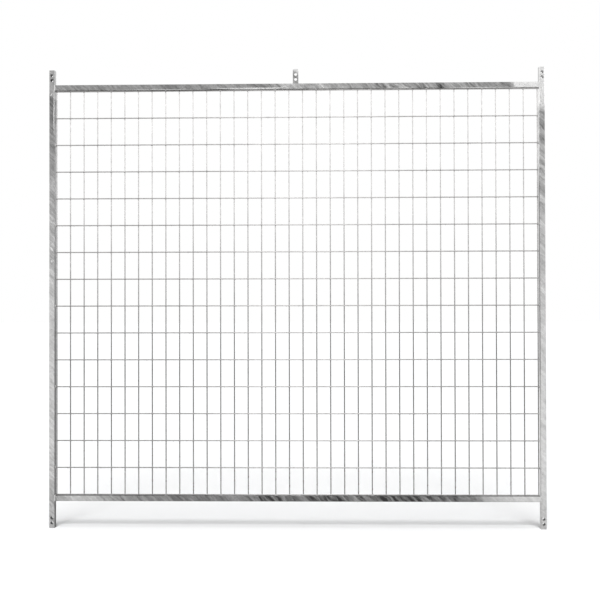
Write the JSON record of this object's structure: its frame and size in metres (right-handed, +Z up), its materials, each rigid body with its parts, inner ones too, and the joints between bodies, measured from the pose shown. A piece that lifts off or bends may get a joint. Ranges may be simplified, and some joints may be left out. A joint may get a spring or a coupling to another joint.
{
  "type": "mesh barrier panel",
  "caption": "Flat galvanised barrier panel: welded wire mesh in a square-tube frame, with drilled post ends and a drilled top lug for bolting panels into a line or pen.",
  "frame": {"origin": "on the floor, midway between the posts and midway through the panel's thickness", "axes": "+X along the panel towards the right-hand post seen from the front, +Y from front to back through the thickness, +Z up"},
  "size_m": [1.8, 0.0208, 1.668],
  "materials": {
    "galvanised_tube": "hot-dip galvanised, dull with spangle",
    "galvanised_wire": "hot-dip galvanised, smooth",
    "galvanised_weld": "hot-dip galvanised, bright and lumpy"
  },
  "bodies": {
    "root": {"bottom_rail": "galvanised_tube", "cross_wire_01": "galvanised_wire", "cross_wire_02": "galvanised_wire", "cross_wire_03": "galvanised_wire", "cross_wire_04": "galvanised_wire", "cross_wire_05": "galvanised_wire", "cross_wire_06": "galvanised_wire", "cross_wire_07": "galvanised_wire", "cross_wire_08": "galvanised_wire", "cross_wire_09": "galvanised_wire", "cross_wire_10": "galvanised_wire", "cross_wire_11": "galvanised_wire", "cross_wire_12": "galvanised_wire", "cross_wire_13": "galvanised_wire", "cross_wire_14": "galvanised_wire", "cross_wire_15": "galvanised_wire", "cross_wire_16": "galvanised_wire", "frame_welds": "galvanised_weld", "left_post": "galvanised_tube", "lug_weld": "galvanised_weld", "right_post": "galvanised_tube", "tack_welds": "galvanised_weld", "top_lug": "galvanised_tube", "top_rail": "galvanised_tube", "upright_wire_01": "galvanised_wire", "upright_wire_02": "galvanised_wire", "upright_wire_03": "galvanised_wire", "upright_wire_04": "galvanised_wire", "upright_wire_05": "galvanised_wire", "upright_wire_06": "galvanised_wire", "upright_wire_07": "galvanised_wire", "upright_wire_08": "galvanised_wire", "upright_wire_09": "galvanised_wire", "upright_wire_10": "galvanised_wire", "upright_wire_11": "galvanised_wire", "upright_wire_12": "galvanised_wire", "upright_wire_13": "galvanised_wire", "upright_wire_14": "galvanised_wire", "upright_wire_15": "galvanised_wire", "upright_wire_16": "galvanised_wire", "upright_wire_17": "galvanised_wire", "upright_wire_18": "galvanised_wire", "upright_wire_19": "galvanised_wire", "upright_wire_20": "galvanised_wire", "upright_wire_21": "galvanised_wire", "upright_wire_22": "galvanised_wire", "upright_wire_23": "galvanised_wire", "upright_wire_24": "galvanised_wire", "upright_wire_25": "galvanised_wire", "upright_wire_26": "galvanised_wire", "upright_wire_27": "galvanised_wire", "upright_wire_28": "galvanised_wire", "upright_wire_29": "galvanised_wire", "upright_wire_30": "galvanised_wire", "upright_wire_31": "galvanised_wire", "upright_wire_32": "galvanised_wire", "upright_wire_33": "galvanised_wire", "upright_wire_34": "galvanised_wire", "upright_wire_35": "galvanised_wire", "upright_wire_36": "galvanised_wire"}
  },
  "joints": []
}
